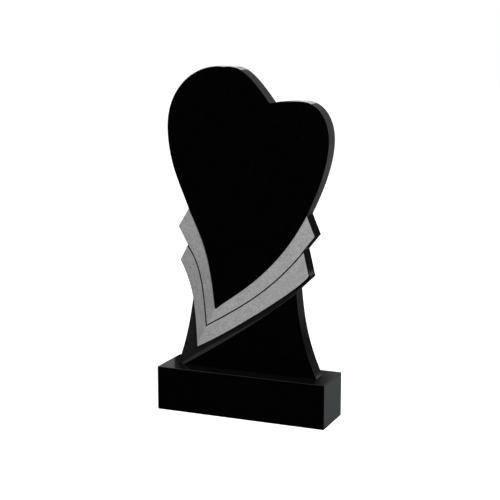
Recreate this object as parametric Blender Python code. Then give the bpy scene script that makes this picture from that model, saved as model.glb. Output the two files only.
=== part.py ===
# Heart headstone: an upright granite slab, carved in one piece, on a rectangular plinth.
# The slab is a leaning heart above two V-shaped ribbons and a foot that flares to the plinth.
# Metres, +Z up. X runs along the width, the carved face looks to -Y, and the origin is the
# middle of the plinth's underside.

import bpy
import bmesh
import numpy as np
from mathutils import Matrix, Vector

# Driving sizes
plinth_width = 0.600
plinth_depth = 0.175
plinth_height = 0.150
plinth_arris = 0.002        # flat taken off each edge of the plinth

slab_thickness = 0.060
slab_arris = 0.001          # flat taken off the slab's outline, front and back
bed_gap = 0.0003            # joint between the plinth and the slab

ribbon_drop = 0.0012        # ribbons are dressed back this far from the polished face
recess_depth = 0.008        # lowered ground left of the foot and under the ribbons
groove_width = 0.0045       # cut between the two ribbons
groove_depth = 0.003
groove_run_out = 0.004      # the cut goes on this far past the outline

arc_steps = 20              # straight pieces in each arc
search_steps = 1000         # pieces in an arc that is searched for a height
cutter_reach = 0.010        # how far a cutter stands clear of the face
beside_slab = 0.320         # a cutter's sides, out from the middle and clear of the slab
flat_angle = np.radians(0.2)    # faces and edges closer than this to flat become one
smooth_angle = np.radians(25)   # sharper edges than this stay crisp

# Corners of the slab's face, (x, height above the plinth)
heart_point_left = (-0.111, 0.208)      # the heart's point is slightly blunt
heart_point_right = (-0.103, 0.208)
ribbon_top_left = (-0.205, 0.540)       # heart meets the upper ribbon
upper_tip_left = (-0.243, 0.4785)
ribbons_meet_left = (-0.2095, 0.417)
lower_tip_left = (-0.2375, 0.3635)
ribbon_point = (-0.177, 0.068)          # lowest point of the lower ribbon
groove_point = (-0.143, 0.144)          # lowest point of the groove
groove_end_left = (-0.2109, 0.4143)     # its upper lip runs straight on as the upper ribbon's edge
groove_end_right = (0.2042, 0.4218)
foot_top_left = (-0.193, 0.246)
foot_corner_left = (-0.2535, 0.0)
foot_corner_right = (0.253, 0.0)
foot_top_right = (0.1795, 0.2895)
ledge_tip_right = (0.2253, 0.3341)      # a narrow ledge of lowered ground runs out under the ribbon
lower_tip_right = (0.2229, 0.344)
ribbons_meet_right = (0.2035, 0.4247)
upper_tip_right = (0.2427, 0.473)
ribbon_top_right = (0.214, 0.540)
heart_shoulder_right = (0.287, 0.781)   # widest point of the right lobe
heart_top_right = (0.189, 0.905)
heart_notch = (0.084, 0.897)
heart_top_left = (-0.088, 1.011)
heart_shoulder_left = (-0.280, 0.798)   # widest point of the left lobe

# Colours of the polished stone
plinth_black = (0.012, 0.012, 0.013)
slab_black = (0.010, 0.010, 0.011)
polish_roughness = 0.08

# Arcs of the slab's face: start, its handle, the end's handle, end
left_flank = (ribbon_top_left, (-0.238, 0.623), (-0.276, 0.687), heart_shoulder_left)
left_lobe = (heart_shoulder_left, (-0.285, 0.945), (-0.173, 1.017), heart_top_left)
left_lobe_fall = (heart_top_left, (-0.040, 1.007), (-0.017, 1.033), heart_notch)
right_lobe = (heart_notch, (0.106, 0.901), (0.156, 0.905), heart_top_right)
right_shoulder = (heart_top_right, (0.253, 0.905), (0.287, 0.846), heart_shoulder_right)
right_flank = (heart_shoulder_right, (0.287, 0.700), (0.246, 0.605), ribbon_top_right)
heart_edge_left = (ribbon_top_left, (-0.120, 0.369), (-0.127, 0.342), heart_point_left)
heart_point = (heart_point_left, (-0.1105, 0.2045), (-0.1055, 0.2055), heart_point_right)
heart_edge_right = (heart_point_right, (-0.051, 0.254), (0.107, 0.332), ribbon_top_right)
groove_left = (groove_end_left, (-0.1565, 0.348), (-0.152, 0.250), groove_point)
groove_right = (groove_point, (-0.0055, 0.224), (0.098, 0.2895), groove_end_right)
lower_edge_left = (lower_tip_left, (-0.1975, 0.290), (-0.182, 0.230), ribbon_point)
lower_edge_right = (ribbon_point, (-0.059, 0.127), (0.203, 0.305), lower_tip_right)
foot_side_left = (foot_top_left, (-0.205, 0.165), (-0.220, 0.085), foot_corner_left)
foot_side_right = (foot_top_right, (0.189, 0.184), (0.203, 0.108), foot_corner_right)

# The sloped edge between the foot's face and the lowered ground, along the face and along the ground
slope_face = ((-0.229, 0.0), (-0.090, 0.084), (0.060, 0.182), (0.185, 0.286))
slope_ground = ((-0.243, 0.0), (-0.085, 0.115), (0.050, 0.165), (0.185, 0.2925))

# Heights and depths that follow
slab_foot_z = plinth_height + bed_gap
face_y = -slab_thickness / 2
ribbon_y = face_y + ribbon_drop
ground_y = face_y + recess_depth
clear_y = face_y - cutter_reach


def line(start, end):
    # A straight run, written as an arc with its handles at thirds
    start, end = np.array(start), np.array(end)
    third = (end - start) / 3
    return tuple(start), tuple(start + third), tuple(end - third), tuple(end)


def arc_points(arc, steps=arc_steps):
    # Cubic Bezier curve: (1-t)^3 a + 3(1-t)^2 t b + 3(1-t) t^2 c + t^3 d
    a, b, c, d = np.array(arc)
    t = np.linspace(0.0, 1.0, steps + 1)[:, None]
    return (1 - t) ** 3 * a + 3 * (1 - t) ** 2 * t * b + 3 * (1 - t) * t ** 2 * c + t ** 3 * d


def chain(*arcs):
    # The points of arcs that follow one another, each shared end once
    return np.vstack([arc_points(arcs[0])] + [arc_points(arc)[1:] for arc in arcs[1:]])


def fraction_at(arc, height):
    # How far along an arc, of its whole, a height is passed
    heights = arc_points(arc, search_steps)[:, 1]
    return float(np.argmin(np.abs(heights - height))) / search_steps


def part_of(arc, start, end):
    # The stretch of an arc between two fractions, with de Casteljau's rule
    def point(u, v, w):
        a, b, c, d = np.array(arc)
        ab, bc, cd = a + (b - a) * u, b + (c - b) * u, c + (d - c) * u
        abc, bcd = ab + (bc - ab) * v, bc + (cd - bc) * v
        return tuple(abc + (bcd - abc) * w)
    return (point(start, start, start), point(start, start, end),
            point(start, end, end), point(end, end, end))


# The lower ribbon's left edge, parted where the foot's side leaves it
leave_left = fraction_at(lower_edge_left, foot_top_left[1])
edge_above_foot_left = part_of(lower_edge_left, leave_left, 0.0)
edge_beside_ground_left = part_of(lower_edge_left, leave_left, 1.0)


def new_collection(name):
    collection = bpy.data.collections.new(name)
    bpy.context.scene.collection.children.link(collection)
    return collection


def stone(name, colour, roughness):
    material = bpy.data.materials.new(name)
    material.use_nodes = True
    shader = material.node_tree.nodes["Principled BSDF"]
    shader.inputs["Base Color"].default_value = (*colour, 1.0)
    shader.inputs["Roughness"].default_value = roughness
    shader.inputs["Metallic"].default_value = 0.0
    shader.inputs["IOR"].default_value = 1.55
    return material


def slab_curve(name, arcs, thickness, arris):
    # A flat outline drawn in X and Y, filled, and given its thickness and a cut arris
    curve = bpy.data.curves.new(name, "CURVE")
    curve.dimensions = "2D"
    curve.fill_mode = "BOTH"
    curve.resolution_u = arc_steps
    curve.extrude = thickness / 2 - arris
    curve.bevel_depth = arris
    curve.bevel_resolution = 0
    curve.offset = -arris
    spline = curve.splines.new("BEZIER")
    spline.bezier_points.add(len(arcs) - 1)
    spline.use_cyclic_u = True
    for knot, arc, before in zip(spline.bezier_points, arcs, arcs[-1:] + arcs[:-1]):
        knot.handle_left_type = "FREE"
        knot.handle_right_type = "FREE"
        knot.co = (*arc[0], 0.0)
        knot.handle_right = (*arc[1], 0.0)
        knot.handle_left = (*before[2], 0.0)
    return curve


def curve_to_mesh(curve, collection, place):
    # The filled curve becomes one closed mesh, and the curve itself is removed
    guide = bpy.data.objects.new(curve.name + "_guide", curve)
    collection.objects.link(guide)
    guide.matrix_world = place
    bpy.context.view_layer.update()
    depsgraph = bpy.context.evaluated_depsgraph_get()
    mesh = bpy.data.meshes.new_from_object(guide.evaluated_get(depsgraph))
    shape = bmesh.new()
    shape.from_mesh(mesh)
    bmesh.ops.remove_doubles(shape, verts=shape.verts, dist=0.00001)
    bmesh.ops.recalc_face_normals(shape, faces=shape.faces)
    bmesh.ops.dissolve_limit(shape, angle_limit=flat_angle, verts=shape.verts, edges=shape.edges)
    shape.to_mesh(mesh)
    shape.free()
    mesh.shade_smooth()
    mesh.set_sharp_from_angle(angle=smooth_angle)
    piece = bpy.data.objects.new(curve.name, mesh)
    piece.matrix_world = guide.matrix_world
    collection.objects.link(piece)
    bpy.data.objects.remove(guide)
    bpy.data.curves.remove(curve)
    return piece


def loft(name, rings, collection):
    # A closed solid through rings of points that match one another, capped at both ends
    mesh = bpy.data.meshes.new(name)
    shape = bmesh.new()
    rows = [[shape.verts.new(point) for point in ring] for ring in rings]
    count = len(rows[0])
    for near, far in zip(rows, rows[1:]):
        for i in range(count):
            j = (i + 1) % count
            shape.faces.new((near[i], near[j], far[j], far[i]))
    shape.faces.new(reversed(rows[0]))
    shape.faces.new(rows[-1])
    bmesh.ops.recalc_face_normals(shape, faces=shape.faces)
    shape.to_mesh(mesh)
    shape.free()
    cutter = bpy.data.objects.new(name, mesh)
    cutter.location = (0.0, 0.0, slab_foot_z)
    cutter.hide_render = True
    cutter.display_type = "WIRE"
    collection.objects.link(cutter)
    return cutter


def cut(piece, cutter):
    boolean = piece.modifiers.new(cutter.name, "BOOLEAN")
    boolean.operation = "DIFFERENCE"
    boolean.solver = "EXACT"
    boolean.object = cutter


def at_depth(points, y):
    return [(x, y, z) for x, z in points]


def make_plinth(collection):
    mesh = bpy.data.meshes.new("plinth")
    shape = bmesh.new()
    bmesh.ops.create_cube(shape, size=1.0)
    bmesh.ops.scale(shape, vec=(plinth_width, plinth_depth, plinth_height), verts=shape.verts)
    bmesh.ops.bevel(shape, geom=shape.edges[:], offset=plinth_arris, segments=1, affect="EDGES")
    bmesh.ops.recalc_face_normals(shape, faces=shape.faces)
    shape.to_mesh(mesh)
    shape.free()
    plinth = bpy.data.objects.new("plinth", mesh)
    plinth.location = (0.0, 0.0, plinth_height / 2)
    plinth.data.materials.append(stone("polished_black_granite_plinth", plinth_black, polish_roughness))
    collection.objects.link(plinth)
    return plinth


def slab_outline():
    # Clockwise from the left joint of heart and ribbon
    side_left = (foot_corner_left, foot_side_left[2], foot_side_left[1], edge_above_foot_left[0])
    return [
        left_flank, left_lobe, left_lobe_fall, right_lobe, right_shoulder, right_flank,
        line(ribbon_top_right, upper_tip_right), line(upper_tip_right, ribbons_meet_right),
        line(ribbons_meet_right, ledge_tip_right), line(ledge_tip_right, foot_top_right), foot_side_right,
        line(foot_corner_right, foot_corner_left), side_left, edge_above_foot_left,
        line(lower_tip_left, ribbons_meet_left), line(ribbons_meet_left, upper_tip_left),
        line(upper_tip_left, ribbon_top_left),
    ]


def ribbon_cutter(collection):
    # Takes the ribbons back from the face, between the heart's lower edge and the lowered ground
    heart = chain(heart_edge_left, heart_point, heart_edge_right)
    ground = arc_points(slope_ground)[::-1]
    beside_right = [(beside_slab, heart[-1][1]), (beside_slab, ground[0][1])]
    beside_left = [(-beside_slab, ground[-1][1]), (-beside_slab, heart[0][1])]
    outline = np.vstack([heart, beside_right, ground, beside_left])
    return loft("ribbon_cutter", [at_depth(outline, clear_y), at_depth(outline, ribbon_y)], collection)


def recess_cutter(collection):
    # The lowered ground: between the lower ribbon's edge and the foot's sloped edge
    ribbon = chain(edge_beside_ground_left, lower_edge_right)
    ribbon = np.vstack([ribbon, 2 * ribbon[-1] - ribbon[-2]])

    def ring(slope, y):
        foot = arc_points(slope)[::-1]
        below_foot = foot[-1] + (foot[-1] - foot[-2])
        beside_right = [(beside_slab, ribbon[-1][1]), (beside_slab, foot[0][1])]
        beside_left = [below_foot, (-beside_slab, below_foot[1]), (-beside_slab, ribbon[0][1])]
        return at_depth(np.vstack([ribbon, beside_right, foot, beside_left]), y)

    rise = np.array(slope_face) - np.array(slope_ground)
    slope_clear = np.array(slope_face) + rise * cutter_reach / recess_depth
    return loft("recess_cutter", [ring(slope_clear, clear_y), ring(slope_ground, ground_y)], collection)


def groove_cutter(collection):
    # A V-shaped cut along both arms, mitred where they meet
    slope = groove_width / 2 / groove_depth
    half = slope * (ribbon_y + groove_depth - clear_y)
    path = chain(groove_left, groove_right)
    first_way, last_way = path[0] - path[1], path[-1] - path[-2]
    run_out_left = path[0] + first_way * groove_run_out / np.linalg.norm(first_way)
    run_out_right = path[-1] + last_way * groove_run_out / np.linalg.norm(last_way)
    path = np.vstack([run_out_left, path, run_out_right])
    ahead = np.diff(path, axis=0)
    ahead /= np.linalg.norm(ahead, axis=1)[:, None]
    side = np.column_stack([-ahead[:, 1], ahead[:, 0]])
    before = np.vstack([side[:1], side])
    after = np.vstack([side, side[-1:]])
    mitre = before + after
    mitre /= (mitre * after).sum(axis=1)[:, None]
    rings = []
    for point, out in zip(path, mitre):
        near, far = point + out * half, point - out * half
        rings.append([*at_depth([near, far], clear_y), *at_depth([point], ribbon_y + groove_depth)])
    return loft("groove_cutter", rings, collection)


def make_slab(collection, cutters):
    curve = slab_curve("stele", slab_outline(), slab_thickness, slab_arris)
    stand_up = Matrix.Translation(Vector((0.0, 0.0, slab_foot_z))) @ Matrix.Rotation(np.pi / 2, 4, "X")
    slab = curve_to_mesh(curve, collection, stand_up)
    slab.data.materials.clear()
    slab.data.materials.append(stone("polished_black_granite_slab", slab_black, polish_roughness))
    cut(slab, ribbon_cutter(cutters))
    cut(slab, recess_cutter(cutters))
    cut(slab, groove_cutter(cutters))
    return slab


for item in list(bpy.data.objects):
    bpy.data.objects.remove(item)

headstone = new_collection("heart_headstone")
cutters = new_collection("cutters")
make_plinth(headstone)
make_slab(headstone, cutters)
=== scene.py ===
import bmesh
import bpy
import numpy as np
from mathutils import Euler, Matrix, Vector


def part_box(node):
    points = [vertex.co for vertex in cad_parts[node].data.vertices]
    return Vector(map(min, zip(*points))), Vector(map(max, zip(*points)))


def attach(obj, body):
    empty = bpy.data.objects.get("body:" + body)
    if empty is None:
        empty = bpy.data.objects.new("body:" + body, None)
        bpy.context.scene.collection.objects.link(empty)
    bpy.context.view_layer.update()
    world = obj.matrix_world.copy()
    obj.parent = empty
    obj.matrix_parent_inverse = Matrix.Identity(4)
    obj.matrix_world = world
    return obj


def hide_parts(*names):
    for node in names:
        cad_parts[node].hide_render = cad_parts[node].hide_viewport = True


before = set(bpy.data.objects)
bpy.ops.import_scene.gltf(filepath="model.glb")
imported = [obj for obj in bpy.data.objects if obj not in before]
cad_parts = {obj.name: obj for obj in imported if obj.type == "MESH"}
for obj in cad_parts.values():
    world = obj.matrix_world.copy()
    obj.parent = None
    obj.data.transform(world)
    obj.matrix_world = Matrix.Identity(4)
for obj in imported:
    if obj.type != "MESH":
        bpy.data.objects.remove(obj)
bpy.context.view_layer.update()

steleLow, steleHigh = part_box("stele")
plinthLow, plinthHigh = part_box("plinth")
mm = 0.001
arcSteps = 600                  # short steps along each arc, before its columns are spaced evenly
mergeDistance = 0.002 * mm      # points of two grids closer than this become one
fineDetail = 2.0                # octaves of the finest noise
print("frame loaded:", ", ".join(sorted(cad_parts)))


# Lines in the plane of the face, as rows of (x, height above the plinth)

def evenly(line, count):
    # count + 1 points at equal distances: the running sum of the steps gives the distance along the line
    run = np.concatenate([[0.0], np.cumsum(np.linalg.norm(np.diff(line, axis=0), axis=1))])
    at = np.linspace(0.0, run[-1], count + 1)
    return np.column_stack([np.interp(at, run, line[:, k]) for k in range(line.shape[1])])


def smoothArc(handles):
    # Cubic Bezier curve: (1-t)^3 a + 3(1-t)^2 t b + 3(1-t) t^2 c + t^3 d
    a, b, c, d = np.array(handles, float)
    t = np.linspace(0.0, 1.0, arcSteps + 1)[:, None]
    return (1 - t) ** 3 * a + 3 * (1 - t) ** 2 * t * b + 3 * (1 - t) * t ** 2 * c + t ** 3 * d


def chain(*lines):
    # Lines that follow one another, each shared end once
    return np.vstack([lines[0]] + [line[1:] for line in lines[1:]])


def straight(start, end):
    # A straight run needs its two ends only
    return np.array([start, end], float)


def sidestep(line, distance, closed=False):
    # Each point moves to the right of travel, by the two unit normals beside it, summed, over one
    # plus their dot product
    ahead = np.roll(line, -1, axis=0) - line
    if not closed:
        ahead[-1] = ahead[-2]
    ahead /= np.linalg.norm(ahead, axis=1)[:, None]
    behind = np.roll(ahead, 1, axis=0)
    if not closed:
        behind[0] = ahead[0]
    right, rightBefore = (np.column_stack([way[:, 1], -way[:, 0]]) for way in (ahead, behind))
    widen = 1.0 + (right * rightBefore).sum(axis=1)[:, None]
    return line + distance * (right + rightBefore) / widen


def passes(line, height):
    # Index of the point where a line passes a height
    return int(np.argmin(np.abs(line[:, 1] - height)))


def crossing(line, other):
    # Indices of the two points where two lines come nearest
    gap = np.linalg.norm(line[:, None] - other[None], axis=2)
    return np.unravel_index(np.argmin(gap), gap.shape)


def towards(point, other, distance):
    # The point that lies a distance from one point on the way to another
    point, other = np.array(point, float), np.array(other, float)
    return point + (other - point) * distance / np.linalg.norm(other - point)


def settleEnds(line, start, end, reach):
    # A line whose ends are drawn to two given points: each end's shift fades out over reach, as the
    # square of the share of reach that is left
    run = np.concatenate([[0.0], np.cumsum(np.linalg.norm(np.diff(line, axis=0), axis=1))])
    fadeStart = np.clip(1 - run / reach, 0, 1)[:, None] ** 2
    fadeEnd = np.clip(1 - (run[-1] - run) / reach, 0, 1)[:, None] ** 2
    return line + fadeStart * (start - line[0]) + fadeEnd * (end - line[-1])


# Surfaces

def between(low, high, left, right):
    # Coons patch: the two ruled surfaces between facing edges, summed, less the bilinear patch
    # through the four corners
    u = np.linspace(0, 1, low.shape[0])[None, :, None]
    v = np.linspace(0, 1, left.shape[0])[:, None, None]
    alongV = (1 - v) * low[None] + v * high[None]
    alongU = (1 - u) * left[:, None] + u * right[:, None]
    bilinear = (1 - v) * ((1 - u) * low[0] + u * low[-1]) + v * ((1 - u) * high[0] + u * high[-1])
    return alongV + alongU - bilinear


def pinned(point, count):
    # An edge drawn together in one point
    return np.repeat(np.array(point, float)[None], count + 1, axis=0)


def valueNoise(x, z, grain, seed):
    # Random numbers from -1 to 1 on a square lattice, joined by smoothstep between its corners
    side = 257      # lattice cells before the noise repeats
    lattice = np.random.default_rng(seed).uniform(-1.0, 1.0, (side, side))
    column, row = np.floor(x / grain).astype(int), np.floor(z / grain).astype(int)
    s, t = x / grain - column, z / grain - row
    s, t = s * s * (3 - 2 * s), t * t * (3 - 2 * t)
    nextColumn, nextRow = (column + 1) % side, (row + 1) % side
    column, row = column % side, row % side
    near = lattice[column, row] * (1 - s) + lattice[nextColumn, row] * s
    far = lattice[column, nextRow] * (1 - s) + lattice[nextColumn, nextRow] * s
    return near * (1 - t) + far * t


class Shell:
    # Grids that share their edges, gathered into one closed mesh
    def __init__(self):
        self.points, self.faces, self.finish, self.smooth = [], [], [], []
        self.count = 0

    def grid(self, points, finish, smooth=True):
        # Quads between the rows and columns of points
        rows, columns = points.shape[:2]
        index = self.count + np.arange(rows * columns).reshape(rows, columns)
        quads = np.stack([index[:-1, :-1], index[:-1, 1:], index[1:, 1:], index[1:, :-1]], axis=-1)
        self.points.append(points.reshape(-1, 3))
        self.faces.extend(quads.reshape(-1, 4).tolist())
        self.finish.extend([finish] * (quads.size // 4))
        self.smooth.extend([smooth] * (quads.size // 4))
        self.count += rows * columns

    def cap(self, ring, finish):
        # One flat face across a ring
        self.points.append(ring)
        self.faces.append(list(range(self.count, self.count + len(ring))))
        self.finish.append(finish)
        self.smooth.append(False)
        self.count += len(ring)

    def piece(self, name, materials, crease):
        # The mesh as an object: shared edges merged, edges sharper than the crease angle kept crisp
        mesh = bpy.data.meshes.new(name)
        mesh.from_pydata(np.vstack(self.points).tolist(), [], self.faces)
        mesh.polygons.foreach_set("material_index", self.finish)
        mesh.polygons.foreach_set("use_smooth", self.smooth)
        for material in materials:
            mesh.materials.append(material)
        shape = bmesh.new()
        shape.from_mesh(mesh)
        bmesh.ops.remove_doubles(shape, verts=shape.verts, dist=mergeDistance)
        bmesh.ops.recalc_face_normals(shape, faces=shape.faces)
        openEdges = sum(not edge.is_manifold for edge in shape.edges)
        shape.to_mesh(mesh)
        shape.free()
        smooth = [face.use_smooth for face in mesh.polygons]
        mesh.set_sharp_from_angle(angle=np.radians(crease))
        mesh.polygons.foreach_set("use_smooth", smooth)     # the call above makes every face smooth
        result = bpy.data.objects.new(name, mesh)
        bpy.context.scene.collection.objects.link(result)
        triangles = sum(len(face.vertices) - 2 for face in mesh.polygons)
        print(name + ":", triangles, "triangles,", openEdges, "open edges")
        return result


# Materials

def linear(hexColour):
    # sRGB hex to linear: c / 12.92 below 0.04045, ((c + 0.055) / 1.055) ^ 2.4 above
    channels = np.array([int(hexColour[i:i + 2], 16) for i in (1, 3, 5)]) / 255
    return (*np.where(channels <= 0.04045, channels / 12.92, ((channels + 0.055) / 1.055) ** 2.4), 1.0)


def addNode(tree, kind, sockets=None, **settings):
    # One node: settings are its properties, sockets its inputs, each a value or another node's output.
    # Inputs that share a name go by number: on a Mix node 0 is the share, 6 and 7 are two colours
    # whose mix is output 2, and 2 and 3 two numbers whose mix is output 0
    node = tree.nodes.new(kind)
    for name, value in settings.items():
        setattr(node, name, value)
    for name, value in (sockets or {}).items():
        if isinstance(value, bpy.types.NodeSocket):
            tree.links.new(value, node.inputs[name])
        else:
            node.inputs[name].default_value = value
    return node


def newMaterial(name, ior):
    # A stone's material and shader, with the place on the stone that its patterns read
    material = bpy.data.materials.new(name)
    material.use_nodes = True
    tree = material.node_tree
    shader = tree.nodes["Principled BSDF"]
    shader.inputs["IOR"].default_value = ior
    place = addNode(tree, "ShaderNodeTexCoord").outputs["Object"]
    return material, tree, shader, place


def shade(tree, colour, factor):
    # A colour times a grey factor, which may pass 1
    grey = addNode(tree, "ShaderNodeCombineColor", {"Red": factor, "Green": factor, "Blue": factor})
    return addNode(tree, "ShaderNodeMix", {
        0: 1.0, 6: colour, 7: grey.outputs["Color"]}, data_type="RGBA", blend_type="MULTIPLY").outputs[2]


def pitted(tree, shader, place, size, depth):
    # Tool marks too fine for the mesh: noise of one size in mm, through a bump of one depth in mm
    marks = addNode(tree, "ShaderNodeTexNoise", {
        "Vector": place, "Scale": 1 / (size * mm), "Detail": fineDetail})
    bump = addNode(tree, "ShaderNodeBump", {
        "Height": marks.outputs["Fac"], "Distance": depth * mm, "Strength": 1.0})
    tree.links.new(bump.outputs["Normal"], shader.inputs["Normal"])


def polishedGranite(name, look):
    # Polished black gabbro: mirror-smooth, nearly no colour of its own, faint grey feldspar between
    # black crystals, and a paler tone where it lies level: dust, and on the plinth painted sheen
    material, tree, shader, place = newMaterial(name, look["ior"])
    crystals = addNode(tree, "ShaderNodeTexVoronoi", {
        "Vector": place, "Scale": 1 / (look["crystal"] * mm)})
    chance = addNode(tree, "ShaderNodeSeparateColor", {"Color": crystals.outputs["Color"]}).outputs["Red"]
    fleck = addNode(tree, "ShaderNodeMapRange", {"Value": chance, "From Min": look["fleckShare"]})
    stone = addNode(tree, "ShaderNodeMix", {
        0: fleck.outputs["Result"], 6: linear(look["ground"]), 7: linear(look["fleck"])}, data_type="RGBA")
    normal = addNode(tree, "ShaderNodeNewGeometry").outputs["Normal"]
    upward = addNode(tree, "ShaderNodeSeparateXYZ", {"Vector": normal}).outputs["Z"]
    level = addNode(tree, "ShaderNodeMapRange", {
        "Value": upward, "From Min": look["dustAndSheenRise"][0], "From Max": look["dustAndSheenRise"][1]})
    dustAndSheenColour = addNode(tree, "ShaderNodeMix", {
        0: level.outputs["Result"], 6: stone.outputs[2], 7: linear(look["dustAndSheen"])}, data_type="RGBA")
    tree.links.new(dustAndSheenColour.outputs[2], shader.inputs["Base Color"])
    rough = addNode(tree, "ShaderNodeMapRange", {
        "Value": chance, "To Min": look["roughness"][0], "To Max": look["roughness"][1]})
    tree.links.new(rough.outputs["Result"], shader.inputs["Roughness"])
    return material


def frostedGranite(name, look):
    # The same stone dressed with a fine bush hammer: light grey, matt, a fine grain of bruised and
    # dark crystals. Painted light and shade: the V's right arm is lighter, and the left arm lightens towards
    # its top
    material, tree, shader, place = newMaterial(name, look["ior"])
    across = addNode(tree, "ShaderNodeVectorMath", {
        0: place, 1: look["mitreNormal"]}, operation="DOT_PRODUCT").outputs["Value"]
    reach = look["mitreWidth"] * mm
    arm = addNode(tree, "ShaderNodeMapRange", {
        "Value": across, "From Min": look["mitreAt"] - reach, "From Max": look["mitreAt"] + reach,
    }, interpolation_type="SMOOTHSTEP").outputs["Result"]
    colour = addNode(tree, "ShaderNodeMix", {
        0: arm, 6: linear(look["leftArm"]), 7: linear(look["rightArm"])}, data_type="RGBA").outputs[2]
    height = addNode(tree, "ShaderNodeSeparateXYZ", {"Vector": place}).outputs["Z"]
    lift = addNode(tree, "ShaderNodeMapRange", {
        "Value": height, "From Min": look["liftFrom"], "From Max": look["liftTo"],
        "To Min": 1.0, "To Max": look["liftBy"]}).outputs["Result"]
    gain = addNode(tree, "ShaderNodeMix", {0: arm, 2: lift, 3: 1.0}, data_type="FLOAT").outputs[0]
    colour = shade(tree, colour, gain)
    clouds = addNode(tree, "ShaderNodeTexNoise", {
        "Vector": place, "Scale": 1 / (look["cloud"] * mm), "Detail": look["cloudDetail"]}).outputs["Fac"]
    grains = addNode(tree, "ShaderNodeTexNoise", {
        "Vector": place, "Scale": 1 / (look["grain"] * mm), "Detail": fineDetail}).outputs["Fac"]
    crystals = addNode(tree, "ShaderNodeTexVoronoi", {
        "Vector": place, "Scale": 1 / (look["crystal"] * mm)})
    chance = addNode(tree, "ShaderNodeSeparateColor", {"Color": crystals.outputs["Color"]}).outputs["Red"]
    for value, (low, high), depth in ((clouds, look["cloudSpread"], look["cloudDepth"]),
                                      (grains, look["grainSpread"], look["grainDepth"]),
                                      (chance, (0.0, 1.0), look["crystalDepth"])):
        factor = addNode(tree, "ShaderNodeMapRange", {
            "Value": value, "From Min": low, "From Max": high, "To Min": 1 - depth, "To Max": 1 + depth})
        colour = shade(tree, colour, factor.outputs["Result"])
    tree.links.new(colour, shader.inputs["Base Color"])
    rough = addNode(tree, "ShaderNodeMapRange", {
        "Value": grains, "From Min": look["grainSpread"][0], "From Max": look["grainSpread"][1],
        "To Min": look["roughness"][0], "To Max": look["roughness"][1]})
    tree.links.new(rough.outputs["Result"], shader.inputs["Roughness"])
    pitted(tree, shader, place, look["pit"], look["pitDepth"])
    return material


def honedGranite(name, look):
    # The same stone ground with a coarse wheel and not polished: dark grey with a dull sheen, and a
    # tone painted along X, as painted shade where it darkens and painted light where it pales
    material, tree, shader, place = newMaterial(name, look["ior"])
    clouds = addNode(tree, "ShaderNodeTexNoise", {
        "Vector": place, "Scale": 1 / (look["cloud"] * mm), "Detail": look["cloudDetail"]}).outputs["Fac"]
    low, high = look["cloudSpread"]
    share = addNode(tree, "ShaderNodeMapRange", {"Value": clouds, "From Min": low, "From Max": high})
    colour = addNode(tree, "ShaderNodeMix", {
        0: share.outputs["Result"], 6: linear(look["dark"]), 7: linear(look["light"])}, data_type="RGBA")
    along = addNode(tree, "ShaderNodeSeparateXYZ", {"Vector": place}).outputs["X"]
    paintedLight = addNode(tree, "ShaderNodeMapRange", {
        "Value": along, "From Min": look["paintedLightFrom"], "From Max": look["paintedLightTo"],
        "To Min": 1.0, "To Max": look["paintedLightBy"]})
    paintedLightColour = shade(tree, colour.outputs[2], paintedLight.outputs["Result"])
    tree.links.new(paintedLightColour, shader.inputs["Base Color"])
    rough = addNode(tree, "ShaderNodeMapRange", {
        "Value": clouds, "From Min": low, "From Max": high,
        "To Min": look["roughness"][0], "To Max": look["roughness"][1]})
    tree.links.new(rough.outputs["Result"], shader.inputs["Roughness"])
    pitted(tree, shader, place, look["mark"], look["markDepth"])
    return material


# Sizes of grains in mm, colours in sRGB, places in metres. The stone's crystals are about 1 mm: they
# are drawn two to three times as coarse, so that they show
polishLook = {
    "ior": 1.55, "crystal": 2.0, "ground": "#010101", "fleck": "#080809", "fleckShare": 0.72,
    "roughness": (0.015, 0.035),
    "dustAndSheen": "#030303", "dustAndSheenRise": (0.3, 0.9),      # dust, and on the plinth painted sheen, come in as the normal's Z passes these
}
# On the plinth the level tone is paler: dust, with a painted sheen on its top and a painted highlight along
# its top arris
plinthLook = dict(polishLook, dustAndSheen="#070707")
frostLook = {
    # The arms' two tones and the left arm's lift towards its top are painted light and shade
    "ior": 1.55, "leftArm": "#6f6f6f", "rightArm": "#7f7f7f",
    "mitreNormal": (0.894, 0.0, -0.447), "mitreAt": -0.2592, "mitreWidth": 7.0,
    "liftFrom": 0.45, "liftTo": 0.62, "liftBy": 1.18,
    "cloud": 32.0, "cloudDetail": 3.0, "cloudSpread": (0.3, 0.7), "cloudDepth": 0.06,
    "grain": 2.6, "grainSpread": (0.25, 0.75), "grainDepth": 0.22, "crystal": 3.2, "crystalDepth": 0.20,
    "pit": 0.8, "pitDepth": 0.12, "roughness": (0.72, 0.9),
}
# The ground darkens from x -0.20 m to -0.12 m and stays dark to the right: painted shade in the channel under
# the lower ribbon
honedLook = {
    "ior": 1.55, "dark": "#0f0e11", "light": "#141316", "roughness": (0.42, 0.55),
    "cloud": 20.0, "cloudDetail": 4.0, "cloudSpread": (0.3, 0.7),
    "mark": 1.2, "markDepth": 0.03, "paintedLightFrom": -0.20, "paintedLightTo": -0.12, "paintedLightBy": 0.62,
}
# The sloped edge, rubbed by hand: duller, and paler towards its upper end as painted light
rubbedLook = dict(honedLook, dark="#141414", light="#1a1a1a", cloud=9.0, roughness=(0.5, 0.6),
                  paintedLightFrom=-0.06, paintedLightTo=0.11, paintedLightBy=2.8)
# The groove and the low step beside the heart, as a blade leaves them: nearly black and matt, with the
# ground's painted shade along X
cutLook = dict(honedLook, dark="#0d0d0d", light="#161616", roughness=(0.5, 0.6))
# The underside, as the saw leaves it: mid grey and coarse, with the ground's painted shade along X
sawnLook = dict(honedLook, dark="#3c3c3e", light="#4c4c4e", roughness=(0.6, 0.75), mark=2.5, markDepth=0.15)

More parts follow.
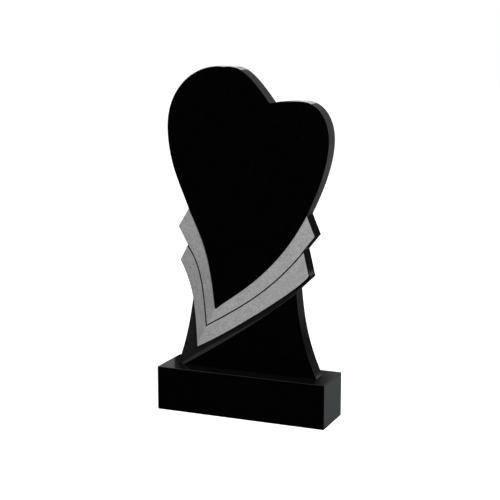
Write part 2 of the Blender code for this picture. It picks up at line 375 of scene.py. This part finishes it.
polished = polishedGranite("polished_black_granite", polishLook)
frosted = frostedGranite("frosted_granite", frostLook)
honed = honedGranite("honed_granite", honedLook)
rubbed = honedGranite("hand_rubbed_slope", rubbedLook)
cutStone = honedGranite("cut_groove", cutLook)
plinthPolish = polishedGranite("polished_black_granite_plinth", plinthLook)
sawn = honedGranite("sawn_granite", sawnLook)
finishes = {"polished": 0, "frosted": 1, "honed": 2, "cut": 3, "rubbed": 4}
print("materials made")


# The slab: outline corners and arcs as (x, height above the plinth) in metres
corners = {
    "ribbonTopLeft": (-0.205, 0.540), "upperTipLeft": (-0.243, 0.4785), "meetLeft": (-0.2095, 0.417),
    "lowerTipLeft": (-0.2375, 0.3635), "ribbonPoint": (-0.177, 0.068),
    "grooveEndLeft": (-0.2109, 0.4143), "groovePoint": (-0.143, 0.144), "grooveEndRight": (0.2042, 0.4218),
    "heartPointLeft": (-0.111, 0.208), "heartPointRight": (-0.103, 0.208),
    "footTopLeft": (-0.193, 0.246), "footCornerLeft": (-0.2535, 0.0),
    "footCornerRight": (0.253, 0.0), "footTopRight": (0.1795, 0.2895),
    "lowerTipRight": (0.2229, 0.344), "meetRight": (0.2035, 0.4247),
    "upperTipRight": (0.2427, 0.473), "ribbonTopRight": (0.214, 0.540),
    "shoulderRight": (0.287, 0.781), "topRight": (0.189, 0.905), "notch": (0.084, 0.897),
    "topLeft": (-0.088, 1.011), "shoulderLeft": (-0.280, 0.798),
}


def arcOf(start, handle, endHandle, end):
    # An arc whose ends are corners, given by name
    return smoothArc([corners[start], handle, endHandle, corners[end]])


arcs = {
    "heartTop": chain(
        arcOf("ribbonTopLeft", (-0.238, 0.623), (-0.276, 0.687), "shoulderLeft"),
        arcOf("shoulderLeft", (-0.285, 0.945), (-0.173, 1.017), "topLeft"),
        arcOf("topLeft", (-0.040, 1.007), (-0.017, 1.033), "notch"),
        arcOf("notch", (0.106, 0.901), (0.156, 0.905), "topRight"),
        arcOf("topRight", (0.253, 0.905), (0.287, 0.846), "shoulderRight"),
        arcOf("shoulderRight", (0.287, 0.700), (0.246, 0.605), "ribbonTopRight")),
    "heartEdgeLeft": arcOf("ribbonTopLeft", (-0.120, 0.369), (-0.127, 0.342), "heartPointLeft"),
    "heartPoint": arcOf("heartPointLeft", (-0.1105, 0.2045), (-0.1055, 0.2055), "heartPointRight"),
    "heartEdgeRight": arcOf("heartPointRight", (-0.051, 0.254), (0.107, 0.332), "ribbonTopRight"),
    "grooveLeft": arcOf("grooveEndLeft", (-0.1565, 0.348), (-0.152, 0.250), "groovePoint"),
    "grooveRight": arcOf("groovePoint", (-0.0055, 0.224), (0.098, 0.2895), "grooveEndRight"),
    "lowerEdgeLeft": arcOf("lowerTipLeft", (-0.1975, 0.290), (-0.182, 0.230), "ribbonPoint"),
    "lowerEdgeRight": arcOf("ribbonPoint", (-0.059, 0.127), (0.203, 0.305), "lowerTipRight"),
    "footSideLeft": arcOf("footTopLeft", (-0.205, 0.165), (-0.220, 0.085), "footCornerLeft"),
    "footSideRight": arcOf("footTopRight", (0.189, 0.184), (0.203, 0.108), "footCornerRight"),
    "slopeFace": smoothArc([(-0.229, 0.0), (-0.090, 0.084), (0.060, 0.182), (0.185, 0.286)]),
    "slopeGround": smoothArc([(-0.243, 0.0), (-0.085, 0.115), (0.050, 0.165), (0.185, 0.2925)]),
}

slab = {
    "arris": 1.0 * mm,          # radius of the outline's rubbed edge
    "ribbonDrop": 1.2 * mm,     # the ribbons lie this far behind the polished face
    "recess": 8.0 * mm,         # the lowered ground lies this far behind it
    "grooveHalf": 2.25 * mm,    # half the groove's width
    "grooveDepth": 3.0 * mm,    # below the ribbons
    "draft": 0.3 * mm,          # how far a cut wall leans out from its top to its foot
    "wallDraft": 0.6 * mm,      # the same for the deep wall under the lower ribbon
    "mouth": 3.0 * mm,          # the groove opens on the lower ribbon's end: its bed this far from the inner
                                # corner, its lower lip as far again
    "ledgeTip": 93.2 * mm,      # the ledge runs on to this far from the inner corner, in line with the end
    "settle": 18.0 * mm,        # inner lines reach the rim's own points over this length
    "holding": 0.4 * mm,        # a row this far from the arris keeps the side flat
    "clear": 0.05 * mm,         # the round outline stays this far inside the solid's straight facets
    "relief": 0.14 * mm,        # height of the dressed ribbons' grain
    "marks": ((3.1 * mm, 0.65, 11), (1.7 * mm, 0.35, 12)),      # its two sizes: grain, share, seed
    "marksFade": 2,             # rows at a patch's edge over which the grain fades in
    "crease": 25.0,             # degrees: sharper edges than this stay crisp
}
counts = {
    "tail": 52, "grooveLeft": 218, "grooveRight": 344,      # columns along the ribbons
    "ribbonRows": 38, "heartRows": 6, "groundRows": 4, "slopeRows": 3, "footRows": 5, "arrisRows": 4,
    "aboveFootLeft": 94, "ledge": 54, "groundRight": 3, "groundBottom": 5,
    "bottomShare": 0.6,         # of the slope's columns, those that end at the bottom
}


def makeStele():
    # One closed stone: face, ribbons, groove, lowered ground, sloped edge and foot as patches that
    # share their edges
    arris, drop, recess = slab["arris"], slab["ribbonDrop"], slab["recess"]
    tail, rows = counts["tail"], counts["ribbonRows"]
    heartColumns = 2 * tail + counts["grooveLeft"] + counts["grooveRight"]
    besideLeft = counts["grooveLeft"] - counts["aboveFootLeft"]
    slopeColumns = counts["grooveRight"] - counts["ledge"] - counts["groundRight"] - counts["groundBottom"]
    bottomColumns = int(slopeColumns * counts["bottomShare"])

    leaveLeft = passes(arcs["lowerEdgeLeft"], corners["footTopLeft"][1])
    footSideLeft = arcs["footSideLeft"].copy()
    footSideLeft[0] = arcs["lowerEdgeLeft"][leaveLeft]
    footSideRight = arcs["footSideRight"].copy()
    groundEnd, groundAt = crossing(arcs["slopeGround"], footSideRight)
    faceEnd, faceAt = crossing(arcs["slopeFace"], footSideRight)
    slopeGround = arcs["slopeGround"][:groundEnd + 1]
    slopeFace = arcs["slopeFace"][:faceEnd + 1]
    footSideRight[groundAt] = slopeGround[-1]
    footSideRight[faceAt] = slopeFace[-1]
    footTopLeft = footSideLeft[0]
    stepRight = towards(corners["ribbonTopRight"], corners["upperTipRight"], slab["draft"])
    stepLeft = towards(corners["ribbonTopLeft"], corners["upperTipLeft"], slab["draft"])
    ledgeTip = towards(corners["meetRight"], corners["lowerTipRight"], slab["ledgeTip"])
    wallRight = towards(corners["lowerTipRight"], ledgeTip, slab["wallDraft"])
    wallLeft = towards(footTopLeft, footSideLeft[1], slab["wallDraft"])
    bedRight = towards(corners["meetRight"], corners["lowerTipRight"], slab["mouth"])
    lipRight = towards(corners["meetRight"], corners["lowerTipRight"], 2 * slab["mouth"])
    bedLeft = towards(corners["meetLeft"], corners["lowerTipLeft"], slab["mouth"])
    lipLeft = towards(corners["meetLeft"], corners["lowerTipLeft"], 2 * slab["mouth"])

    # The outline, clockwise: each stretch with its columns and the face's depth at its two ends
    stretches = [
        ("heartTop", arcs["heartTop"], heartColumns, 0, 0),
        ("stepRight", straight(corners["ribbonTopRight"], stepRight), 1, 0, drop),
        ("upperEndRight", straight(stepRight, corners["upperTipRight"]), rows, drop, drop),
        ("upperTailRight", straight(corners["upperTipRight"], corners["meetRight"]), tail, drop, drop),
        ("mouthUpRight", straight(corners["meetRight"], bedRight), 1, drop, drop + slab["grooveDepth"]),
        ("mouthLowRight", straight(bedRight, lipRight), 1, drop + slab["grooveDepth"], drop),
        ("lowerEndRight", straight(lipRight, corners["lowerTipRight"]), rows, drop, drop),
        ("wallRight", straight(corners["lowerTipRight"], wallRight), 1, drop, recess),
        ("ledgeEndRight", straight(wallRight, ledgeTip), counts["groundRows"], recess, recess),
        ("ledgeRight", straight(ledgeTip, corners["footTopRight"]), counts["ledge"], recess, recess),
        ("groundRight", footSideRight[:groundAt + 1], counts["groundRight"], recess, recess),
        ("slopeRight", footSideRight[groundAt:faceAt + 1], counts["slopeRows"], recess, 0),
        ("footRight", footSideRight[faceAt:], slopeColumns - bottomColumns, 0, 0),
        ("bottom", straight(corners["footCornerRight"], slopeFace[0]), bottomColumns, 0, 0),
        ("slopeBottom", straight(slopeFace[0], slopeGround[0]), counts["slopeRows"], 0, recess),
        ("groundBottom", straight(slopeGround[0], corners["footCornerLeft"]), counts["groundBottom"],
         recess, recess),
        ("footLeft", np.vstack([footSideLeft[:0:-1], [wallLeft]]), besideLeft, recess, recess),
        ("wallLeft", straight(wallLeft, footTopLeft), 1, recess, drop),
        ("lowerTailLeft", arcs["lowerEdgeLeft"][:leaveLeft + 1][::-1], counts["aboveFootLeft"], drop, drop),
        ("lowerEndLeft", straight(corners["lowerTipLeft"], lipLeft), rows, drop, drop),
        ("mouthLowLeft", straight(lipLeft, bedLeft), 1, drop, drop + slab["grooveDepth"]),
        ("mouthUpLeft", straight(bedLeft, corners["meetLeft"]), 1, drop + slab["grooveDepth"], drop),
        ("upperTailLeft", straight(corners["meetLeft"], corners["upperTipLeft"]), tail, drop, drop),
        ("upperEndLeft", straight(corners["upperTipLeft"], stepLeft), rows, drop, drop),
        ("stepLeft", straight(stepLeft, corners["ribbonTopLeft"]), 1, drop, 0),
    ]
    lines = [evenly(line, columns) for name, line, columns, *depths in stretches]
    outline = sidestep(np.vstack([line[:-1] for line in lines]), slab["clear"], closed=True)
    depth = np.concatenate([np.linspace(start, end, columns + 1)[:-1]
                            for *rest, columns, start, end in stretches])
    first = np.concatenate([[0], np.cumsum([columns for name, line, columns, *depths in stretches])])
    where = {name: (first[i], first[i + 1]) for i, (name, *rest) in enumerate(stretches)}
    inset = sidestep(outline, arris, closed=True)

    def stand(line, depths):
        # From (x, height) and a depth behind the face to the slab's own place
        depths = np.broadcast_to(depths, line.shape[:1])
        return np.column_stack([line[:, 0], steleLow.y + depths, steleLow.z + line[:, 1]])

    rimLine = stand(inset, depth)

    def rim(*names):
        # The face's own edge along some stretches, in the outline's direction
        parts = [rimLine[np.arange(where[name][0], where[name][1] + 1) % len(rimLine)] for name in names]
        return chain(*parts)

    def inner(line, start, end, depths):
        # An inner line, its ends settled on two points of the rim
        start, end = (point[[0, 2]] - [0, steleLow.z] for point in (start, end))
        return stand(settleEnds(line, start, end, slab["settle"]), depths)

    middle = arcSteps // 2
    heartLeft = chain(arcs["heartEdgeLeft"], arcs["heartPoint"][:middle + 1])
    heartRight = chain(arcs["heartPoint"][middle:], arcs["heartEdgeRight"])
    heartLow = chain(evenly(heartLeft, tail + counts["grooveLeft"]),
                     evenly(heartRight, tail + counts["grooveRight"]))
    grooveLine = chain(evenly(arcs["grooveLeft"], counts["grooveLeft"]),
                       evenly(arcs["grooveRight"], counts["grooveRight"]))
    wallLine = chain(evenly(arcs["lowerEdgeLeft"][leaveLeft:], besideLeft),
                     evenly(arcs["lowerEdgeRight"], counts["grooveRight"]))

    shell = Shell()
    heartRim = rim("heartTop")
    upperRight, upperLeft = rim("upperEndRight"), rim("upperEndLeft")
    lowerRight, lowerLeft = rim("lowerEndRight"), rim("lowerEndLeft")
    heartEdge = inner(heartLow, heartRim[0], heartRim[-1], 0)
    shell.grid(between(heartEdge, heartRim, pinned(heartRim[0], counts["heartRows"]),
                       pinned(heartRim[-1], counts["heartRows"])), finishes["polished"], smooth=False)
    ribbonTop = inner(sidestep(heartLow, slab["draft"]), upperLeft[-1], upperRight[0], drop)
    shell.grid(np.stack([heartEdge, ribbonTop]), finishes["cut"])

    mouthsLeft, mouthsRight = rim("mouthLowLeft", "mouthUpLeft"), rim("mouthUpRight", "mouthLowRight")
    grooveBed = inner(grooveLine, mouthsLeft[1], mouthsRight[1], drop + slab["grooveDepth"])
    grooveUp = inner(sidestep(grooveLine, -slab["grooveHalf"]), mouthsLeft[2], mouthsRight[0], drop)
    grooveLow = inner(sidestep(grooveLine, slab["grooveHalf"]), mouthsLeft[0], mouthsRight[2], drop)
    shell.grid(np.stack([grooveUp, grooveBed]), finishes["cut"])
    shell.grid(np.stack([grooveBed, grooveLow]), finishes["cut"])

    def dressed(patch):
        # Hammer marks: two sizes of noise, none on the patch's edges, which its neighbours share
        x, z = patch[..., 0], patch[..., 2]
        height = sum(share * valueNoise(x, z, grain, seed) for grain, share, seed in slab["marks"])
        v, u = np.mgrid[:patch.shape[0], :patch.shape[1]]
        edge = np.minimum(np.minimum(v, patch.shape[0] - 1 - v), np.minimum(u, patch.shape[1] - 1 - u))
        patch[..., 1] += slab["relief"] * height * np.clip(edge / slab["marksFade"], 0, 1)
        return patch

    upperOut = chain(rim("upperTailLeft")[::-1], grooveUp, rim("upperTailRight")[::-1])
    shell.grid(dressed(between(ribbonTop, upperOut, upperLeft[::-1], upperRight)), finishes["frosted"])

    wallTop = inner(wallLine, rim("lowerTailLeft")[0], lowerRight[-1], drop)
    wallFoot = inner(sidestep(wallLine, slab["wallDraft"]), rim("wallLeft")[0], rim("wallRight")[-1], recess)
    lowerOut = chain(rim("lowerTailLeft")[::-1], wallTop)
    shell.grid(dressed(between(grooveLow, lowerOut, lowerLeft[::-1], lowerRight)), finishes["frosted"])
    shell.grid(np.stack([wallTop, wallFoot]), finishes["polished"])

    slopeBottom, slopeRight = rim("slopeBottom"), rim("slopeRight")
    groundSlope = inner(evenly(slopeGround, slopeColumns), slopeBottom[-1], slopeRight[0], recess)
    faceSlope = inner(evenly(slopeFace, slopeColumns), slopeBottom[0], slopeRight[-1], 0)
    groundOut = chain(rim("footLeft")[::-1], rim("groundBottom")[::-1], groundSlope,
                      rim("ledgeRight", "groundRight")[::-1])
    ground = between(wallFoot, groundOut, pinned(wallFoot[0], counts["groundRows"]), rim("ledgeEndRight"))
    shell.grid(ground[:, :-counts["ledge"]], finishes["honed"], smooth=False)
    # The ledge under the lower ribbon's tip takes the black polish: painted shade, where the ribbon shades it
    shell.grid(ground[:, -counts["ledge"] - 1:], finishes["polished"], smooth=False)
    shell.grid(between(groundSlope, faceSlope, slopeBottom[::-1], slopeRight), finishes["rubbed"])
    footOut = chain(rim("bottom")[::-1], rim("footRight")[::-1])
    shell.grid(between(faceSlope, footOut, pinned(faceSlope[0], counts["footRows"]),
                       pinned(faceSlope[-1], counts["footRows"])), finishes["polished"], smooth=False)

    # The rim: a quarter round, a flat side and a quarter round again, carried round the outline
    turn = np.linspace(0, np.pi / 2, counts["arrisRows"] + 1)
    thickness = steleHigh.y - steleLow.y
    profile = [(arris * (1 - np.sin(a)), arris * (1 - np.cos(a)), 1.0) for a in turn]
    profile += [(0.0, arris + slab["holding"], 1.0), (0.0, thickness - arris - slab["holding"], 0.0)]
    profile += [(arris * (1 - np.cos(a)), thickness - arris * (1 - np.sin(a)), 0.0) for a in turn]
    rings = [stand(sidestep(outline, inward, closed=True), behind + depth * share)
             for inward, behind, share in profile]
    rings = np.stack([np.vstack([ring, ring[:1]]) for ring in rings])
    shell.grid(rings, finishes["polished"])
    shell.cap(rings[-1][:-1], finishes["polished"])
    return shell.piece("carved_stele", [polished, frosted, honed, cutStone, rubbed], slab["crease"])


stele = makeStele()
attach(stele, "root")
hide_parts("stele")
print("stele made")


plinth = {
    "arris": 2.0 * mm,      # radius of the rubbed edges
    "arrisSteps": 4,        # faces across a quarter round
    "holding": 0.6 * mm,    # rows this far from the arris keep the faces flat
    "crease": 35.0,         # degrees: sharper edges than this stay crisp
}


def makePlinth():
    # A block whose plan is a rounded rectangle: its corner radius shrinks with the quarter rounds at
    # foot and top
    radius, steps = plinth["arris"], plinth["arrisSteps"]
    half = (plinthHigh - plinthLow) / 2
    turn = np.linspace(0, np.pi / 2, steps + 1)
    height = plinthHigh.z - plinthLow.z
    foot = [(radius * (1 - np.cos(a)), radius * (1 - np.sin(a))) for a in turn[::-1]]
    top = [(radius * (1 - np.cos(a)), height - radius * (1 - np.sin(a))) for a in turn]
    sides = [(0.0, radius + plinth["holding"]), (0.0, height - radius - plinth["holding"])]
    flatIn = radius + plinth["holding"]
    profile = [(flatIn, 0.0)] + foot + sides + top + [(flatIn, height)]

    def ring(inward, z):
        # Quarter circles round the four corners, with a holding point beside each end of a side
        centre = np.array([half.x, half.y]) - max(radius, inward)
        reach = max(radius - inward, 0.0)
        points = []
        for quarter, (signX, signY) in enumerate([(1, 1), (-1, 1), (-1, -1), (1, -1)]):
            angle = turn + quarter * np.pi / 2
            corner = np.column_stack([signX * centre[0] + reach * np.cos(angle),
                                      signY * centre[1] + reach * np.sin(angle)])
            before = corner[0] + plinth["holding"] * np.array([np.sin(angle[0]), -np.cos(angle[0])])
            after = corner[-1] + plinth["holding"] * np.array([-np.sin(angle[-1]), np.cos(angle[-1])])
            points += [before, *corner, after]
        points = np.array(points)
        return np.column_stack([points, np.full(len(points), z)])

    middle = (plinthHigh + plinthLow) / 2
    rings = np.stack([ring(inward, z) for inward, z in profile])
    rings += np.array([middle.x, middle.y, plinthLow.z])
    shell = Shell()
    shell.grid(np.concatenate([rings, rings[:, :1]], axis=1), 0)
    shell.cap(rings[0], 1)
    shell.cap(rings[-1], 0)
    return shell.piece("plinth_block", [plinthPolish, sawn], plinth["crease"])


block = makePlinth()
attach(block, "root")
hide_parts("plinth")
print("plinth made")


# The studio
studio = {
    "floorSide": 40.0, "floorColour": "#8c8c8c", "floorGlow": 1.0, "floorRoughness": 0.9,
    "ambient": 0.45,
    "keyPlace": (4.72, -2.64, 6.4), "keyAim": (0.0, 0.0, 0.5), "keySize": 1.3, "keyPower": 1050.0,
    "backGlow": 0.035,              # the room behind the stone, as its polish mirrors it
    "glowSide": (0.0, 0.25),        # it comes in as a direction's Y passes these,
    "glowFrom": (-24.0, -18.0),     # and as its elevation in degrees passes these
}
# What polished stone mirrors: azimuth from +Y towards +X and elevation in degrees, softness of the
# sides, of the foot and of the head, brightness, and a tint where it isn't neutral
windows = [
    {"azimuth": (-150, -26.24), "elevation": (2, 48), "soft": (0.05, 6, 6), "light": 0.32,
     "tint": "#f5faff"},
    {"azimuth": (-13, 2.0), "elevation": (-16.5, 24), "soft": (0.2, 0.5, 0.5), "light": 0.12},
    {"azimuth": (2.0, 20.0), "elevation": (-21.1, 24), "soft": (0.2, 0.5, 0.5), "light": 0.12},
    {"azimuth": (-13, 20.0), "elevation": (-16.5, 24), "soft": (0.2, 3.0, 3.0), "light": 0.08},
    {"azimuth": (16.8, 22), "elevation": (-18.6, -14.5), "soft": (0.5, 0.6, 0.6), "light": 0.09,
     "tint": "#c7f4ff"},
    {"azimuth": (-19.0, -13), "elevation": (15.0, 22), "soft": (0.8, 0.5, 0.5), "light": 0.17},
    {"azimuth": (-25, -11), "elevation": (2.5, 14), "soft": (1.0, 2.5, 2.5), "light": 1.1},
    {"azimuth": (-17.6, -11), "elevation": (14, 20.5), "soft": (0.6, 1.0, 1.0), "light": 1.0},
    {"azimuth": (20, 80), "elevation": (-90, -6), "soft": (1.5, 6, 6), "light": 0.11},
    {"azimuth": (23.8, 70), "elevation": (-0.5, 40), "soft": (0.5, 2.5, 2.5), "light": 0.045},
    {"azimuth": (24.5, 70), "elevation": (3.38, 40), "soft": (0.3, 0.45, 0.45), "light": 0.36},
    {"azimuth": (22.3, 23.3), "elevation": (-1.62, -1.56), "soft": (0.2, 0.02, 0.19), "light": 0.62},
    {"azimuth": (-180, 180), "elevation": (56, 90), "soft": (1, 8, 8), "light": 0.9},
]


def makeFloor():
    # A flat square under everything, pale and matt; polished stone doesn't mirror it
    half = studio["floorSide"] / 2
    mesh = bpy.data.meshes.new("studio_floor")
    side = np.linspace(-half, half, 3)
    x, y = np.meshgrid(side, side)
    points = np.column_stack([x.ravel(), y.ravel(), np.zeros(x.size)])
    quads = [(i, i + 1, i + 4, i + 3) for i in (0, 1, 3, 4)]    # two by two on three points a side
    mesh.from_pydata(points.tolist(), [], quads)
    floor = bpy.data.objects.new("studio_floor", mesh)
    bpy.context.scene.collection.objects.link(floor)
    material = bpy.data.materials.new("pale_floor")
    material.use_nodes = True
    shader = material.node_tree.nodes["Principled BSDF"]
    shader.inputs["Base Color"].default_value = linear(studio["floorColour"])
    shader.inputs["Roughness"].default_value = studio["floorRoughness"]
    shader.inputs["Specular IOR Level"].default_value = 0.0
    shader.inputs["Emission Color"].default_value = (1.0, 1.0, 1.0, 1.0)
    shader.inputs["Emission Strength"].default_value = studio["floorGlow"]
    mesh.materials.append(material)
    floor.visible_glossy = False


def makeWorld():
    # White behind the stone, even light on it, and a few soft windows that only its polish mirrors
    world = bpy.data.worlds.new("studio")
    bpy.context.scene.world = world
    world.use_nodes = True
    tree = world.node_tree
    tree.nodes.clear()
    way = addNode(tree, "ShaderNodeTexCoord").outputs["Generated"]
    xyz = addNode(tree, "ShaderNodeSeparateXYZ", {"Vector": way})
    azimuth = addNode(tree, "ShaderNodeMath", {0: xyz.outputs["X"], 1: xyz.outputs["Y"]}, operation="ARCTAN2")
    azimuth = addNode(tree, "ShaderNodeMath", {0: azimuth.outputs[0]}, operation="DEGREES").outputs[0]
    elevation = addNode(tree, "ShaderNodeMath", {0: xyz.outputs["Z"]}, operation="ARCSINE")
    elevation = addNode(tree, "ShaderNodeMath", {0: elevation.outputs[0]}, operation="DEGREES").outputs[0]
    glow = addNode(tree, "ShaderNodeMapRange", {
        "Value": xyz.outputs["Y"], "From Min": studio["glowSide"][0], "From Max": studio["glowSide"][1],
        "To Max": studio["backGlow"]}, interpolation_type="SMOOTHSTEP").outputs["Result"]
    above = addNode(tree, "ShaderNodeMapRange", {
        "Value": elevation, "From Min": studio["glowFrom"][0], "From Max": studio["glowFrom"][1],
    }, interpolation_type="SMOOTHSTEP").outputs["Result"]
    total = addNode(tree, "ShaderNodeMath", {0: glow, 1: above}, operation="MULTIPLY").outputs[0]
    for window in windows:
        share = window["light"]
        side, foot, head = window["soft"]
        left, right = window["azimuth"]
        low, high = window["elevation"]
        edges = (
            (azimuth, left, side, 0.0, 1.0), (azimuth, right, side, 1.0, 0.0),
            (elevation, low, foot, 0.0, 1.0), (elevation, high, head, 1.0, 0.0))
        for value, at, soft, before, after in edges:
            edge = addNode(tree, "ShaderNodeMapRange", {
                "Value": value, "From Min": at - soft, "From Max": at + soft,
                "To Min": before, "To Max": after}, interpolation_type="SMOOTHSTEP").outputs["Result"]
            share = addNode(tree, "ShaderNodeMath", {0: share, 1: edge}, operation="MULTIPLY").outputs[0]
        tint = linear(window.get("tint", "#ffffff"))[:3]
        total = addNode(tree, "ShaderNodeVectorMath", {
            0: tint, 1: share, 2: total}, operation="MULTIPLY_ADD").outputs[0]
    white = (1, 1, 1, 1)
    mirrored = addNode(tree, "ShaderNodeBackground", {"Color": total, "Strength": 1.0})
    even = addNode(tree, "ShaderNodeBackground", {"Color": white, "Strength": studio["ambient"]})
    seen = addNode(tree, "ShaderNodeBackground", {"Color": white, "Strength": 1.0})
    ray = addNode(tree, "ShaderNodeLightPath")
    lit = addNode(tree, "ShaderNodeMixShader", {
        0: ray.outputs["Is Glossy Ray"], 1: even.outputs[0], 2: mirrored.outputs[0]})
    shown = addNode(tree, "ShaderNodeMixShader", {
        0: ray.outputs["Is Camera Ray"], 1: lit.outputs[0], 2: seen.outputs[0]})
    addNode(tree, "ShaderNodeOutputWorld", {"Surface": shown.outputs[0]})


def makeKey():
    # One soft lamp high on the right: it shades the groove and brings out the ribbons' grain
    data = bpy.data.lights.new("soft_key", "AREA")
    data.shape = "SQUARE"
    data.size = studio["keySize"]
    data.energy = studio["keyPower"]
    lamp = bpy.data.objects.new("soft_key", data)
    place, aim = np.array(studio["keyPlace"]), np.array(studio["keyAim"])
    lamp.location = place
    lamp.visible_glossy = False     # or it glints in specks along the thin arris
    sight = (aim - place) / np.linalg.norm(aim - place)     # a lamp shines along its own -Z
    lamp.rotation_euler = Euler((np.arccos(-sight[2]), 0.0, np.arctan2(-sight[0], sight[1])))
    bpy.context.scene.collection.objects.link(lamp)


camera = {
    "place": (1.591, -3.7925, 1.321), "turn": 22.7, "down": 10.5,       # metres and degrees
    "lens": 90.86, "sensor": 36.0,                                      # mm
}


def makeCamera():
    # The photograph's angle: from the stone's right, looking down a little
    data = bpy.data.cameras.new("camera")
    data.lens = camera["lens"]
    data.sensor_width = camera["sensor"]
    view = bpy.data.objects.new("camera", data)
    view.location = camera["place"]
    view.rotation_euler = Euler(np.radians((90.0 - camera["down"], 0.0, camera["turn"])))
    bpy.context.scene.collection.objects.link(view)
    bpy.context.scene.camera = view


makeFloor()
makeWorld()
makeKey()
makeCamera()
bpy.context.scene.view_settings.view_transform = "Standard"     # black stone stays black, white stays white
print("studio made")
